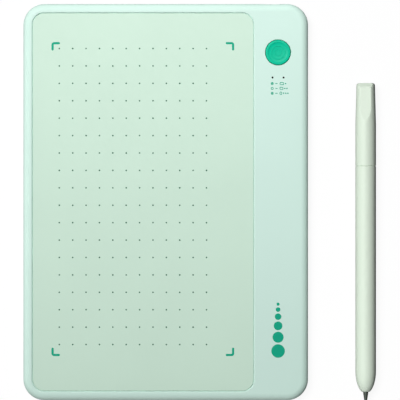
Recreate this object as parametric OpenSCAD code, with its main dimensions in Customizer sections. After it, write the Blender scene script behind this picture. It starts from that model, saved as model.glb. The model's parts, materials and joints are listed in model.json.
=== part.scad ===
// Pen drawing tablet with its battery-free pen, in millimetres.
//
// The tablet lies face up on four rubber feet, and the pen lies on the same desk beside its right edge.
// +Z is up and +Y runs towards the edge with the socket. The origin is on the desk, at the middle of the
// footprint of tablet and pen together.
//
// Tablet modules draw round the tablet's own middle, and pen modules draw the pen standing on its nose,
// with Z along the pen; on_desk() and lay_pen() put them in place.

/* [Tablet body] */
// Width across the short side
body_w = 148; // [146:1:154]
// Length along the long side
body_l = 206; // [202:1:216]
// Thickness without the feet
body_h = 8; // [8:0.1:8.6]
// Radius of the four corners, seen from above
corner_r = 11; // [10:0.5:12]
// Radius of the upper edge
top_edge_r = 3.8; // [3.4:0.1:3.8]
// Radius of the lower edge
base_edge_r = 2.8; // [2:0.1:2.8]
// Height of the joint line between the two covers, above the underside
joint_h = 3.2; // [3.2:0.1:3.4]
// Thickness of the side walls
wall = 2.1; // [2:0.05:2.2]

/* [Drawing surface] */
// Width of the frame between the surface and the left, front and rear edges
rim = 4.8; // [4.4:0.1:5]
// Width of the pocket that the drawing sheet lies in
pocket_w = 115; // [112:0.2:116]
// Depth of that pocket
pocket_depth = 0.9; // [0.8:0.05:1]
// Gap between the drawing sheet and the pocket's wall
sheet_gap = 0.3; // [0.3:0.05:0.5]
// Chamfer of the pocket's mouth and of the sheet's upper edge
edge_chamfer = 0.2; // [0.1:0.05:0.25]

/* [Mode button] */
// Distance of the button's middle from the right edge
button_inset_x = 15.7; // [15:0.1:16.5]
// Distance of the button's middle from the rear edge
button_inset_y = 25.4; // [24:0.1:28]
// Radius of the hole in the top cover
button_hole_r = 6.7; // [6.5:0.1:6.8]
// Gap round the button cap
button_gap = 0.25; // [0.2:0.05:0.3]
// How far the cap goes down when pressed
button_travel = 0.5; // [0.3:0.05:0.5]

/* [Status lights] */
// Distance between the two lights
light_pitch = 5.7; // [5:0.1:6.5]
// Distance of the lights from the button's middle
light_drop = 13; // [12:0.1:14]
// Radius of each light's window
light_r = 0.55; // [0.4:0.05:0.6]

/* [Feet] */
// Length of each rubber foot
foot_l = 24; // [18:1:26]
// Width of each rubber foot
foot_w = 7; // [6.5:0.1:7]
// How far the feet stand below the tablet
foot_proud = 1; // [0.8:0.1:1.2]

/* [Pen] */
// Radius of the pen's barrel
pen_r = 5.35; // [5.2:0.05:5.5]
// Length of the pen from its nose to its rear end, without the nib
pen_l = 160.4; // [156:0.2:166]
// Distance from the nose to the seam between barrel and rear cap
seam_z = 117.4; // [116:0.2:119]
// Radius of the rear end
pen_tail_r = 4.8; // [4.6:0.05:5]
// Length of the nib that shows
nib_out = 6; // [5.6:0.1:6.4]
// How far the nib goes in under pressure
nib_travel = 0.8; // [0.5:0.05:0.8]
// Distance from the tablet's right edge to the pen's axis
pen_gap = 30; // [20:1:40]
// Distance of the pen's rear end in front of the tablet's rear edge
pen_setback = 41.2; // [38:0.2:46]

/* [Hidden] */
$fn = 64;
eps = 0.01;

mint = [0.82, 0.92, 0.87];
sage = [0.80, 0.89, 0.82];
teal = [0.02, 0.76, 0.60];
pen_green = [0.86, 0.91, 0.84];
graphite = [0.22, 0.25, 0.22];
board_green = [0.10, 0.35, 0.22];

// Heights above the desk
z_base = foot_proud;
z_top = z_base + body_h;
z_split = z_base + joint_h;
split_gap = 0.2;
floor_t = 1.4;
roof_t = 1.6;
z_floor = z_base + floor_t;
z_roof = z_top - roof_t;
z_pocket = z_top - pocket_depth;
z_slab = z_pocket - 1.3;
lip_t = 0.9;
lip_gap = 0.1;

// The pocket and what lies in it
pocket_l = body_l - 2 * rim;
pocket_r = corner_r - rim;
pocket_x = -body_w / 2 + rim + pocket_w / 2;
adhesive_t = 0.1;
// How far the drawing sheet lies below the cover's upper side
sheet_sink = 0.3;
sheet_t = pocket_depth - adhesive_t - sheet_sink;
sheet_r = pocket_r - sheet_gap;

// The layers under the roof, from the top down
layer_inset = 4.6;
layer_x = pocket_x + 0.3;
layer_w = pocket_w - 2 * layer_inset + 2;
layer_l = pocket_l - 2 * layer_inset + 2;
sensor_t = 1;
z_sensor = z_slab - 0.1 - sensor_t;
film_t = 0.15;
z_film = z_sensor - film_t;
shield_t = 0.5;
z_shield = z_film - shield_t;
shield_cut = 7;

// The controller board, in the strip to the right of the pocket
board_x0 = pocket_x + pocket_w / 2 + 0.8;
board_x1 = body_w / 2 - 9.8;
board_y0 = 20;
board_y1 = body_l / 2 - 2.6;
board_t = 1;
z_board = z_floor + 1.2;
z_board_top = z_board + board_t;
flex_y = board_y0 + 20;
flex_w = 10;
flex_t = 0.15;

// The mode button's stack
button_x = body_w / 2 - button_inset_x;
button_y = body_l / 2 - button_inset_y;
cap_r = button_hole_r - button_gap;
cap_proud = 0.3;
flange_r = button_hole_r + 0.5;
flange_t = 0.8;
z_flange = z_roof - 0.1 - flange_t;
pad_r = 5.8;
pad_wall = 1.5;
plunger_r = 1.2;
z_plunger_top = z_flange - 0.1;
housing_h = z_plunger_top - button_travel - 0.1 - z_board_top;

light_y = button_y - light_drop;
light_xs = [button_x - light_pitch / 2, button_x + light_pitch / 2];
led_h = 0.6;

// The USB-C socket, in the rear wall
usb_x = board_x0 + 8.5;
usb_z = z_board_top;
usb_w = 8.94;
usb_h = 3.16;
usb_depth = 7.3;
usb_wall = 0.3;
usb_y = body_l / 2 - 1 - usb_depth;
usb_slot_gap = 0.33;

// Screws and their bosses
screw_inset = 7;
screw_x = body_w / 2 - screw_inset;
screw_y = body_l / 2 - screw_inset;
screw_xy = [for (sx = [-1, 1], sy = [-1, 1]) [sx * screw_x, sy * screw_y]];
screw_r = 1;
head_r = 1.9;
head_h = 0.9;
boss_r = 2.4;
boss_gap = 0.1;
foot_sink = 0.6;
z_boss = z_split - 0.8;
z_head = z_base + foot_sink + 0.1;
board_screw_xy = [[board_x0 + 2.6, board_y0 + 3], [board_x1 - 2.6, board_y0 + 38]];
board_screw_r = 0.75;

// Places along the pen, from its nose
nose_l = 10.8;
nose_r = 2.1;
nose_steps = 20;
bore_r = 1.5;
barrel_in_r = 4.15;
taper_z = pen_l - 21.6;
rocker_z = 52;
rocker_l = 20;
rocker_w = 4.6;
rocker_gap = 0.25;
pin_y = 2.9;
pin_r = 0.5;
carrier_r = 4.05;
sensor_r = 3.55;
core_z0 = 7.1;
core_z1 = 22;
core_r = 2.4;
coil_z0 = 9.2;
coil_z1 = 19.6;
tray_z = 39.5;
pcb_y = -0.1;
pcb_t = 0.8;
seam_gap = 0.2;
spigot_l = 8;
spigot_r = barrel_in_r - 0.05;
seal_z = seam_z - 5.2;
seal_in_r = 3.15;
seal_r = 0.48;
carrier_end_z = seam_z - spigot_l - 0.2;
holder_z = core_z1 + 0.6;
spring_z0 = 28.4;
spring_z1 = 33.2;
stem_r = 0.85;
collar_r = 1.33;
nib_tip_r = 0.45;

// The middle of the whole footprint, seen from the tablet's middle
left_x = -body_w / 2;
right_x = body_w / 2 + pen_gap + pen_r;
rear_y = body_l / 2;
pen_nose_y = rear_y - pen_setback - pen_l;
front_y = min(-body_l / 2, pen_nose_y - nib_out);
tablet_x = -(left_x + right_x) / 2;
tablet_y = -(front_y + rear_y) / 2;

// ---- Placing ----

// From the tablet's own middle to the middle of the footprint
module on_desk() translate([tablet_x, tablet_y, 0]) children();

// From a pen standing on its nose to the pen lying with its nose forward and its tail flat facing up
module lay_pen()
    translate([tablet_x + body_w / 2 + pen_gap, tablet_y + pen_nose_y, pen_r]) rotate([-90, 0, 0]) children();

// ---- Shared shapes ----

module rounded_rect(w, l, r) {
    square([w - 2 * r, l], center = true);
    square([w, l - 2 * r], center = true);
    for (sx = [-1, 1], sy = [-1, 1]) translate([sx * (w / 2 - r), sy * (l / 2 - r)]) circle(r);
}

module slab(w, l, r, z0, z1) translate([0, 0, z0]) linear_extrude(z1 - z0) rounded_rect(w, l, r);

module box_between(p, q) translate(p) cube(q - p);

module rect_between(p, q) translate(p) square(q - p);

// A rounded rectangle with an edge profile carried round it. The profile is drawn as (distance from the
// corner's centre, height), from 0 to r, and z0 and z1 are its lowest and highest points at 0.
module swept_plate(w, l, r, z0, z1) {
    for (c = [[1, 1, 0], [-1, 1, 90], [-1, -1, 180], [1, -1, 270]])
        translate([c[0] * (w / 2 - r), c[1] * (l / 2 - r), 0])
            rotate(c[2]) rotate_extrude(angle = 90) children();
    for (a = [0, 180]) rotate(a) {
        translate([w / 2 - r, 0, 0]) rotate([90, 0, 0]) linear_extrude(l - 2 * r, center = true) children();
        translate([0, l / 2 - r, 0]) rotate([90, 0, 90]) linear_extrude(w - 2 * r, center = true) children();
    }
    box_between([-w / 2 + r, -l / 2 + r, z0], [w / 2 - r, l / 2 - r, z1]);
}

// A quarter disc in the first quadrant
module quarter(r) intersection() {
    circle(r);
    square(r);
}

// Upper edge profile: a wall up to z1 with its outer corner rounded to edge_r
module rounded_top(r, edge_r, z0, z1) {
    rect_between([0, z0], [r - edge_r, z1]);
    rect_between([0, z0], [r, z1 - edge_r]);
    translate([r - edge_r, z1 - edge_r]) quarter(edge_r);
}

// A stadium outline along X
module stadium(l, w) {
    square([l - w, w], center = true);
    for (s = [-1, 1]) translate([s * (l - w) / 2, 0]) circle(w / 2);
}

module ring(r_out, r_in, z0, z1) translate([0, 0, z0]) difference() {
    cylinder(h = z1 - z0, r = r_out);
    translate([0, 0, -1]) cylinder(h = z1 - z0 + 2, r = r_in);
}

module rod(r, z0, z1) translate([0, 0, z0]) cylinder(h = z1 - z0, r = r);

// A pan-head screw along Z, with its head at the bottom: head radius, head height, shank radius, end height
module screw(hr, hh, sr, end, drive_r) difference() {
    union() {
        rod(hr, 0, hh);
        rod(sr, hh - eps, end);
    }
    rod(drive_r, -1, hh * 0.5);
}

// ---- Tablet: covers ----

module usb_slot() translate([usb_x, body_l / 2 + 2, usb_z]) rotate([90, 0, 0])
    linear_extrude(8) stadium(usb_w + 2 * usb_slot_gap, usb_h + 2 * usb_slot_gap);

module button_hole() translate([button_x, button_y, 0]) rod(button_hole_r, z_slab - 1, z_top + 1);

module top_cover() color(mint) on_desk() difference() {
    union() {
        difference() {
            union() {
                swept_plate(body_w, body_l, corner_r, z_split + split_gap / 2, z_top)
                    rounded_top(corner_r, top_edge_r, z_split + split_gap / 2, z_top);
                // The lip that goes down inside the bottom cover
                slab(body_w - 2 * (wall - lip_t), body_l - 2 * (wall - lip_t), corner_r - wall + lip_t,
                    z_split - 0.8, z_split + split_gap);
            }
            swept_plate(body_w - 2 * wall, body_l - 2 * wall, corner_r - wall, z_split - 1, z_roof)
                rounded_top(corner_r - wall, top_edge_r - wall, z_split - 1, z_roof);
        }
        // The thickening under the pocket
        translate([pocket_x, 0, 0]) slab(pocket_w - 2, pocket_l - 4, pocket_r - 2, z_slab, z_roof + 0.2);
        for (p = screw_xy) translate([p[0], p[1], 0]) rod(boss_r, z_boss + boss_gap, z_roof + 0.2);
        // The ring that guides the button's flange
        translate([button_x, button_y, 0]) ring(flange_r + 1, flange_r + 0.2, z_flange - 0.4, z_roof + 0.2);
    }
    translate([pocket_x, 0, 0]) swept_plate(pocket_w, pocket_l, pocket_r, z_pocket, z_top + 1)
        polygon([
            [0, z_pocket], [pocket_r, z_pocket], [pocket_r, z_top - edge_chamfer],
            [pocket_r + edge_chamfer, z_top], [pocket_r + edge_chamfer, z_top + 1], [0, z_top + 1]
        ]);
    for (p = screw_xy) translate([p[0], p[1], 0]) rod(screw_r + 0.05, z_boss - 1, z_slab - 0.4);
    button_hole();
    for (x = light_xs) translate([x, light_y, 0]) rod(light_r, z_roof - 1, z_top + 1);
    usb_slot();
}

// Lower edge profile: a wall down to z_base with its outer corner rounded
module rounded_bottom() {
    rect_between([0, z_base], [corner_r - base_edge_r, z_split - split_gap / 2]);
    rect_between([0, z_base + base_edge_r], [corner_r, z_split - split_gap / 2]);
    translate([corner_r - base_edge_r, z_base + base_edge_r]) mirror([0, 1]) quarter(base_edge_r);
}

module foot_places()
    for (p = screw_xy) translate([p[0] - sign(p[0]) * (foot_l - foot_w) / 2, p[1], 0]) children();

module bottom_cover() color(mint) on_desk() difference() {
    union() {
        difference() {
            swept_plate(body_w, body_l, corner_r, z_base, z_split - split_gap / 2) rounded_bottom();
            slab(body_w - 2 * wall, body_l - 2 * wall, corner_r - wall, z_floor, z_split + 1);
            // The rabbet that takes the top cover's lip
            slab(body_w - 2 * (wall - lip_t - lip_gap), body_l - 2 * (wall - lip_t - lip_gap),
                corner_r - wall + lip_t + lip_gap, z_split - 0.9, z_split + 1);
        }
        for (p = screw_xy) translate([p[0], p[1], 0]) rod(boss_r + 0.4, z_floor - eps, z_boss);
        for (p = board_screw_xy) translate([p[0], p[1], 0]) rod(1.8, z_floor - eps, z_board);
        // Stiffening ribs between the foam pads
        for (y = [-60, -20, 20, 60])
            box_between([-body_w / 2 + 8, y - 0.5, z_floor - eps], [board_x0 - 2, y + 0.5, z_floor + 1.2]);
        for (x = [-40, 15])
            box_between([x - 0.5, -body_l / 2 + 8, z_floor - eps], [x + 0.5, body_l / 2 - 8, z_floor + 1.2]);
    }
    foot_places() translate([0, 0, z_base - 1]) linear_extrude(1 + foot_sink) stadium(foot_l, foot_w);
    for (p = screw_xy) translate([p[0], p[1], 0]) {
        rod(head_r + 0.2, z_base, z_head + head_h + 0.1);
        rod(screw_r + 0.15, z_base, z_boss + 1);
    }
    for (p = board_screw_xy) translate([p[0], p[1], 0]) rod(board_screw_r + 0.05, z_base + 0.8, z_board + 1);
    usb_slot();
}

// ---- Tablet: drawing surface and the layers under it ----

module drawing_sheet() color(sage) on_desk() translate([pocket_x, 0, 0])
    swept_plate(pocket_w - 2 * sheet_gap, pocket_l - 2 * sheet_gap, sheet_r,
        z_pocket + adhesive_t, z_pocket + adhesive_t + sheet_t)
        polygon([
            [0, z_pocket + adhesive_t], [sheet_r, z_pocket + adhesive_t],
            [sheet_r, z_pocket + adhesive_t + sheet_t - edge_chamfer],
            [sheet_r - edge_chamfer, z_pocket + adhesive_t + sheet_t], [0, z_pocket + adhesive_t + sheet_t]
        ]);

module sheet_adhesive() color("gainsboro") on_desk() translate([pocket_x, 0, 0]) difference() {
    slab(pocket_w - 4, pocket_l - 4, pocket_r - 2, z_pocket, z_pocket + adhesive_t);
    slab(pocket_w - 16, pocket_l - 16, pocket_r - 2, z_pocket - 1, z_pocket + 1);
}

module sensor_board() color(board_green) on_desk() translate([layer_x, 0, 0])
    slab(layer_w, layer_l, 2, z_sensor, z_sensor + sensor_t);

// The film and the shield stop short of the flex cable's end of the sensor board
module insulating_film() color("goldenrod") on_desk() translate([layer_x - shield_cut / 2, 0, 0])
    slab(layer_w - shield_cut, layer_l - 1, 1, z_film, z_film + film_t);

module shield_plate() color("silver") on_desk() translate([layer_x - shield_cut / 2, 0, 0]) difference() {
    slab(layer_w - shield_cut, layer_l - 2, 1, z_shield, z_shield + shield_t);
    for (s = [-1, 1]) translate([s * 30, 0, 0]) rod(3, z_shield - 1, z_shield + 1);
}

module foam_pads() color("dimgray") on_desk()
    for (x = [-53, -12], y = [-75, -40, 0, 40, 75])
        box_between([x - 9, y - 5, z_floor], [x + 9, y + 5, z_shield]);

// ---- Tablet: electronics ----

module main_board() color(board_green) on_desk() difference() {
    notch = usb_w / 2 + 0.3;
    box_between([board_x0, board_y0, z_board], [board_x1, board_y1, z_board_top]);
    box_between([usb_x - notch, usb_y - 0.3, z_board - 1], [usb_x + notch, board_y1 + 1, z_board_top + 1]);
    for (p = board_screw_xy)
        translate([p[0], p[1], 0]) rod(board_screw_r + 0.15, z_board - 1, z_board_top + 1);
}

// Each chip is [x and y of its middle from the board's corner], [width, length, height]
module board_chips() color(graphite) on_desk() for (chip = [
    [[9.5, 12], [7, 7, 0.9]], [[9.5, 24], [5, 5, 0.8]], [[4.5, 34], [3.2, 2.5, 0.8]],
    [[13.5, 30], [3, 3, 1]], [[14, 6], [2, 1.2, 0.8]]
])
    translate([board_x0 + chip[0][0], board_y0 + chip[0][1], z_board_top])
        linear_extrude(chip[1][2]) square([chip[1][0], chip[1][1]], center = true);

module flex_connector() color("ivory") on_desk()
    translate([board_x0 + 0.6, flex_y - 1, z_board_top]) cube([2.4, flex_w + 2, 0.9]);

// A flat cable from the sensor board's underside down to its connector
module flex_cable() color("orange") on_desk() {
    edge_x = layer_x + layer_w / 2;
    low_z = z_board_top + 0.4;
    translate([0, flex_y + flex_w, 0]) rotate([90, 0, 0]) linear_extrude(flex_w) polygon([
        [edge_x - 6, z_sensor - flex_t], [edge_x + 1, z_sensor - flex_t], [board_x0 - 0.8, low_z],
        [board_x0 + 0.6, low_z], [board_x0 + 0.6, low_z + flex_t], [board_x0 - 0.7, low_z + flex_t],
        [edge_x + 1.1, z_sensor], [edge_x - 6, z_sensor]
    ]);
}

module usb_c_shell() color("silver") on_desk() translate([usb_x, usb_y, usb_z]) {
    translate([0, usb_depth, 0]) rotate([90, 0, 0]) difference() {
        linear_extrude(usb_depth) stadium(usb_w, usb_h);
        translate([0, 0, -1]) linear_extrude(usb_depth + 0.6)
            stadium(usb_w - 2 * usb_wall, usb_h - 2 * usb_wall);
    }
    // The tabs that are soldered to the board
    for (s = [0, 1], y = [0.8, 4]) mirror([s, 0, 0])
        box_between([usb_w / 2 - usb_wall / 2, y, 0], [usb_w / 2 + 1.3, y + 1.2, usb_wall]);
}

module usb_c_tongue() color(graphite) on_desk() translate([usb_x, usb_y, usb_z]) {
    box_between([-3.35, 1.5, -0.35], [3.35, 6.2, 0.35]);
    inset = 2 * usb_wall + 0.1;
    translate([0, 2, 0]) rotate([90, 0, 0]) linear_extrude(1.5) stadium(usb_w - inset, usb_h - inset);
}

// ---- Tablet: mode button and lights ----

module mode_button() color(teal) on_desk() translate([button_x, button_y, 0]) rotate_extrude() union() {
    z_cap = z_top + cap_proud;
    round_r = 0.5;
    rim_w = 1.1;
    rect_between([0, z_flange + flange_t - eps], [cap_r - round_r, z_cap - 0.25]);
    rect_between([cap_r - rim_w, z_flange + flange_t - eps], [cap_r - round_r, z_cap]);
    rect_between([0, z_flange + flange_t - eps], [cap_r, z_cap - round_r]);
    translate([cap_r - round_r, z_cap - round_r]) quarter(round_r);
    rect_between([0, z_flange], [flange_r, z_flange + flange_t]);
    rect_between([0, z_plunger_top], [plunger_r + 0.6, z_flange + eps]);
}

// A silicone ring under the flange, which the cap squeezes and which pushes it back
module button_return_pad() color("whitesmoke") on_desk() translate([button_x, button_y, 0])
    ring(pad_r, pad_r - pad_wall, z_board_top, z_flange);

module switch_housing() color(graphite) on_desk() translate([button_x, button_y, 0]) difference() {
    translate([-2.6, -2.6, z_board_top]) cube([5.2, 5.2, housing_h]);
    rod(plunger_r + 0.05, z_board_top + 0.2, z_board_top + housing_h + 1);
}

module switch_plunger() color("ivory") on_desk() translate([button_x, button_y, 0])
    rod(plunger_r, z_plunger_top - button_travel - 0.4, z_plunger_top);

module light_guide() color([0.25, 0.3, 0.28, 0.8]) on_desk() {
    box_between([light_xs[0] - 1.2, light_y - 1.2, z_roof - 0.7], [light_xs[1] + 1.2, light_y + 1.2, z_roof]);
    for (x = light_xs) translate([x, light_y, 0]) {
        rod(light_r - 0.03, z_roof - eps, z_top - 0.05);
        rod(0.9, z_board_top + led_h + 0.2, z_roof - 0.5);
    }
}

module status_leds() color("lightyellow") on_desk()
    for (x = light_xs)
        translate([x, light_y, z_board_top]) linear_extrude(led_h) square([1.6, 0.8], center = true);

// ---- Tablet: feet and fasteners ----

// A stadium pad with a chamfered lower edge
module rubber_feet() color("dimgray") on_desk() foot_places() {
    side = foot_w / 2 - 0.1;
    run = foot_l - foot_w;
    bevel = 0.3;
    top = foot_proud + foot_sink;
    profile = [[0, 0], [side - bevel, 0], [side, bevel], [side, top], [0, top]];
    for (a = [-90, 90]) rotate(a) translate([0, run / 2, 0]) rotate_extrude(angle = 180) polygon(profile);
    for (s = [0, 1])
        mirror([0, s, 0]) rotate([90, 0, 90]) linear_extrude(run, center = true) polygon(profile);
}

module housing_screws() color("silver") on_desk()
    for (p = screw_xy)
        translate([p[0], p[1], z_head]) screw(head_r, head_h, screw_r, z_slab - 0.6 - z_head, 0.8);

module board_screws() color("silver") on_desk()
    for (p = board_screw_xy) translate([p[0], p[1], z_board_top + 0.8]) mirror([0, 0, 1])
        screw(1.5, 0.8, board_screw_r, 0.8 + z_board_top - z_floor, 0.6);

// ---- Pen: barrel, rear cap and seal ----

// The nose is part of an ellipse whose long half-axis ends the nose at nose_r
nose_a = nose_l / sqrt(1 - pow(nose_r / pen_r, 2));
function nose_radius(z) = pen_r * sqrt(1 - pow((nose_l - z) / nose_a, 2));

module side_stadium(l, w) rotate([-90, 0, 0]) linear_extrude(pen_r + 1) rotate(90) stadium(l, w);

module across_pen(y, z) translate([0, y, z]) rotate([0, 90, 0]) children();

module pen_barrel() color(pen_green) lay_pen() difference() {
    end_z = seam_z - seam_gap / 2;
    union() {
        rotate_extrude() polygon(concat(
            [for (i = [0:nose_steps]) let (z = nose_l * i / nose_steps) [nose_radius(z), z]],
            [
                [pen_r, end_z - 0.2], [pen_r - 0.2, end_z], [barrel_in_r, end_z], [barrel_in_r, 10],
                [3.3, 6], [bore_r, 6], [bore_r, 0]
            ]
        ));
        // Two lugs inside the wall, which hold the rocker's pin
        intersection() {
            for (s = [0, 1]) mirror([s, 0, 0])
                translate([rocker_w / 2 + 0.15, pin_y - 0.8, rocker_z - 1]) cube([1.2, 2.2, 2]);
            rod(barrel_in_r + 0.3, rocker_z - 2, rocker_z + 2);
        }
    }
    translate([0, 0, rocker_z]) side_stadium(rocker_l, rocker_w);
    across_pen(pin_y, rocker_z) rod(pin_r + 0.02, -3.1, 3.1);
}

flat_z0 = taper_z + 2.5;
flat_z1 = flat_z0 + 4.2;
flat_z2 = pen_l - 2.1;
flat_depth = 0.9;
flat_turn = 6;
function taper_radius(z) = pen_r - (pen_r - pen_tail_r) * (z - taper_z) / (pen_l - taper_z);

module pen_rear_cap() color(pen_green) lay_pen() difference() {
    tail_round = 1.2;
    start_z = seam_z + seam_gap / 2;
    // The tail's rounding is an arc that meets the taper and the end face
    rotate_extrude() union() {
        polygon([
            [0, seam_z - spigot_l], [spigot_r - 0.3, seam_z - spigot_l], [spigot_r, seam_z - spigot_l + 0.3],
            [spigot_r, start_z], [pen_r - 0.2, start_z], [pen_r, start_z + 0.2], [pen_r, taper_z],
            [taper_radius(pen_l - tail_round), pen_l - tail_round], [0, pen_l - tail_round]
        ]);
        rect_between([0, pen_l - tail_round - eps], [taper_radius(pen_l - tail_round) - tail_round, pen_l]);
        translate([taper_radius(pen_l - tail_round) - tail_round, pen_l - tail_round]) quarter(tail_round);
    }
    rod(2.7, seam_z - spigot_l - 1, pen_l - 5);
    translate([0, 0, seal_z]) ring(spigot_r + 1, seal_in_r, -0.6, 0.6);
    // The flat on the upper side of the tail, with its ramp and its end bevel, turned a little to the tablet
    rotate([0, -90, -flat_turn]) translate([0, 0, -8]) linear_extrude(16) polygon([
        [flat_z0, -pen_r - 0.05], [flat_z1, -taper_radius(flat_z1) + flat_depth],
        [flat_z2, -taper_radius(flat_z2) + flat_depth], [pen_l + 0.5, -pen_tail_r + flat_depth + 1.6],
        [pen_l + 0.5, -pen_r - 2], [flat_z0, -pen_r - 2]
    ]);
}

module cap_seal() color(graphite) lay_pen()
    translate([0, 0, seal_z]) rotate_extrude() translate([seal_in_r + seal_r + 0.01, 0]) circle(seal_r);

// ---- Pen: nib, core and pressure sensor ----

module pen_nib() color(graphite) lay_pen() {
    tip_z = -nib_out;
    rotate_extrude() union() {
        polygon([
            [0, tip_z + nib_tip_r], [nib_tip_r, tip_z + nib_tip_r], [0.75, -nib_out + 1.4],
            [collar_r, -0.4], [collar_r, 1.5], [stem_r, 1.9], [stem_r, holder_z + 2.4], [0, holder_z + 2.4]
        ]);
        translate([0, tip_z + nib_tip_r]) mirror([0, 1]) quarter(nib_tip_r);
    }
}

// A bush in the nose: a guide for the stem, and a cup for the front end of the core
module nib_guide() color("ivory") lay_pen() {
    ring(3.2, stem_r + 0.15, 6.1, core_z0 - 0.1);
    ring(3.2, core_r + 0.05, core_z0 - 0.1 - eps, core_z0 + 1.8);
}

module ferrite_core() color("dimgray") lay_pen() ring(core_r, stem_r + 0.2, core_z0, core_z1);

// The beads are the outermost layer of the winding
module coil_winding() color("peru") lay_pen() rotate_extrude() union() {
    turns = 10;
    pitch = (coil_z1 - coil_z0) / turns;
    rect_between([core_r + 0.03, coil_z0], [core_r + 0.5, coil_z1]);
    for (i = [0:turns - 1]) translate([core_r + 0.56, coil_z0 + pitch * (i + 0.5)]) circle(pitch * 0.47);
}

module nib_holder() color("ivory") lay_pen() difference() {
    union() {
        rod(1.9, holder_z, spring_z0);
        rod(sensor_r - 0.1, spring_z0 - 1, spring_z0);
        rod(1.2, spring_z0 - eps, spring_z1 - nib_travel - 0.2);
    }
    rod(stem_r + 0.02, holder_z - 1, holder_z + 2.5);
}

// A coil spring swept along a helix
module nib_spring() color("silver") lay_pen() {
    wire_r = 0.25;
    coil_r = 2.3;
    turns = 4;
    steps = 16;
    sides = 8;
    rings = turns * steps;
    low = spring_z0 + wire_r + 0.02;
    rise = spring_z1 - spring_z0 - 2 * wire_r - 0.04;
    points = [for (i = [0:rings], j = [0:sides - 1]) let (
        a = 360 * i / steps, b = 360 * j / sides, r = coil_r + wire_r * cos(b)
    ) [r * cos(a), r * sin(a), low + rise * i / rings + wire_r * sin(b)]];
    walls = [for (i = [0:rings - 1], j = [0:sides - 1]) let (k = (j + 1) % sides)
        [i * sides + j, i * sides + k, (i + 1) * sides + k, (i + 1) * sides + j]];
    near_end = [for (j = [sides - 1:-1:0]) j];
    far_end = [for (j = [0:sides - 1]) rings * sides + j];
    polyhedron(points, concat(walls, [near_end, far_end]));
}

module pressure_sensor() color("gainsboro") lay_pen() union() {
    rod(sensor_r, spring_z1, spring_z1 + 4.2);
    rod(2.8, spring_z1 + 4.2 - eps, spring_z1 + 5.6);
}

// ---- Pen: circuit and side switch ----

// A tube round the core's rear end, the spring and the sensor, and behind it a tray for the board
module board_carrier() color("whitesmoke") lay_pen() {
    ring(carrier_r, core_r + 0.05, coil_z1 + 0.2, core_z1 - 0.1);
    ring(carrier_r, sensor_r + 0.05, core_z1 - 0.1 - eps, tray_z);
    difference() {
        ring(carrier_r, 3, tray_z - eps, carrier_end_z);
        box_between([-5, pcb_y, tray_z], [5, 5, carrier_end_z + 1]);
    }
}

module pen_board() color(board_green) lay_pen()
    box_between([-3.8, pcb_y, tray_z + 0.1], [3.8, pcb_y + pcb_t, carrier_end_z - 4]);

module tuning_capacitors() color("peru") lay_pen()
    for (i = [0:3]) translate([-0.8, pcb_y + pcb_t, rocker_z + 18 + 6 * i]) cube([1.6, 1, 3.2]);

module side_switches() color(graphite) lay_pen()
    for (s = [-5, 5]) translate([-1.6, pcb_y + pcb_t, rocker_z + s - 1.6]) cube([3.2, 1.7, 3.2]);

module side_rocker() color(pen_green) lay_pen() difference() {
    union() {
        intersection() {
            translate([0, 0, rocker_z]) side_stadium(rocker_l - 2 * rocker_gap, rocker_w - 2 * rocker_gap);
            difference() {
                rod(pen_r - 0.1, rocker_z - rocker_l, rocker_z + rocker_l);
                box_between([-5, -6, rocker_z - rocker_l - 1], [5, 3.95, rocker_z + rocker_l + 1]);
            }
        }
        box_between([-1.9, pin_y - 0.7, rocker_z - 1], [1.9, 4.2, rocker_z + 1]);
        for (s = [-5, 5]) box_between([-1, 2.75, rocker_z + s - 0.6], [1, 4.2, rocker_z + s + 0.6]);
    }
    across_pen(pin_y, rocker_z) rod(pin_r + 0.05, -5, 5);
    // The notch between the two ends of the rocker
    box_between([-5, pen_r - 0.4, rocker_z - 0.3], [5, pen_r + 1, rocker_z + 0.3]);
}

module rocker_pin() color("silver") lay_pen() across_pen(pin_y, rocker_z) rod(pin_r, -3, 3);

// ---- Nodes ----

top_cover();
bottom_cover();
drawing_sheet();
sheet_adhesive();
sensor_board();
insulating_film();
shield_plate();
foam_pads();
main_board();
board_chips();
flex_connector();
flex_cable();
usb_c_shell();
usb_c_tongue();
mode_button();
button_return_pad();
switch_housing();
switch_plunger();
light_guide();
status_leds();
rubber_feet();
housing_screws();
board_screws();
pen_barrel();
pen_rear_cap();
cap_seal();
pen_nib();
nib_guide();
ferrite_core();
coil_winding();
nib_holder();
nib_spring();
pressure_sensor();
board_carrier();
pen_board();
tuning_capacitors();
side_switches();
side_rocker();
rocker_pin();
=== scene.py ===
"""Pen drawing tablet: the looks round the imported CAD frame.

The covers, the drawing sheet, the button, the feet and the pen's outer pieces are rebuilt here as finer
meshes of the same size, the printing is added as thin pieces, and every CAD node gets its material. Sizes
are in millimetres and become metres in make_object. Only the lights are placed in metres.
"""
import json
import math

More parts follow.
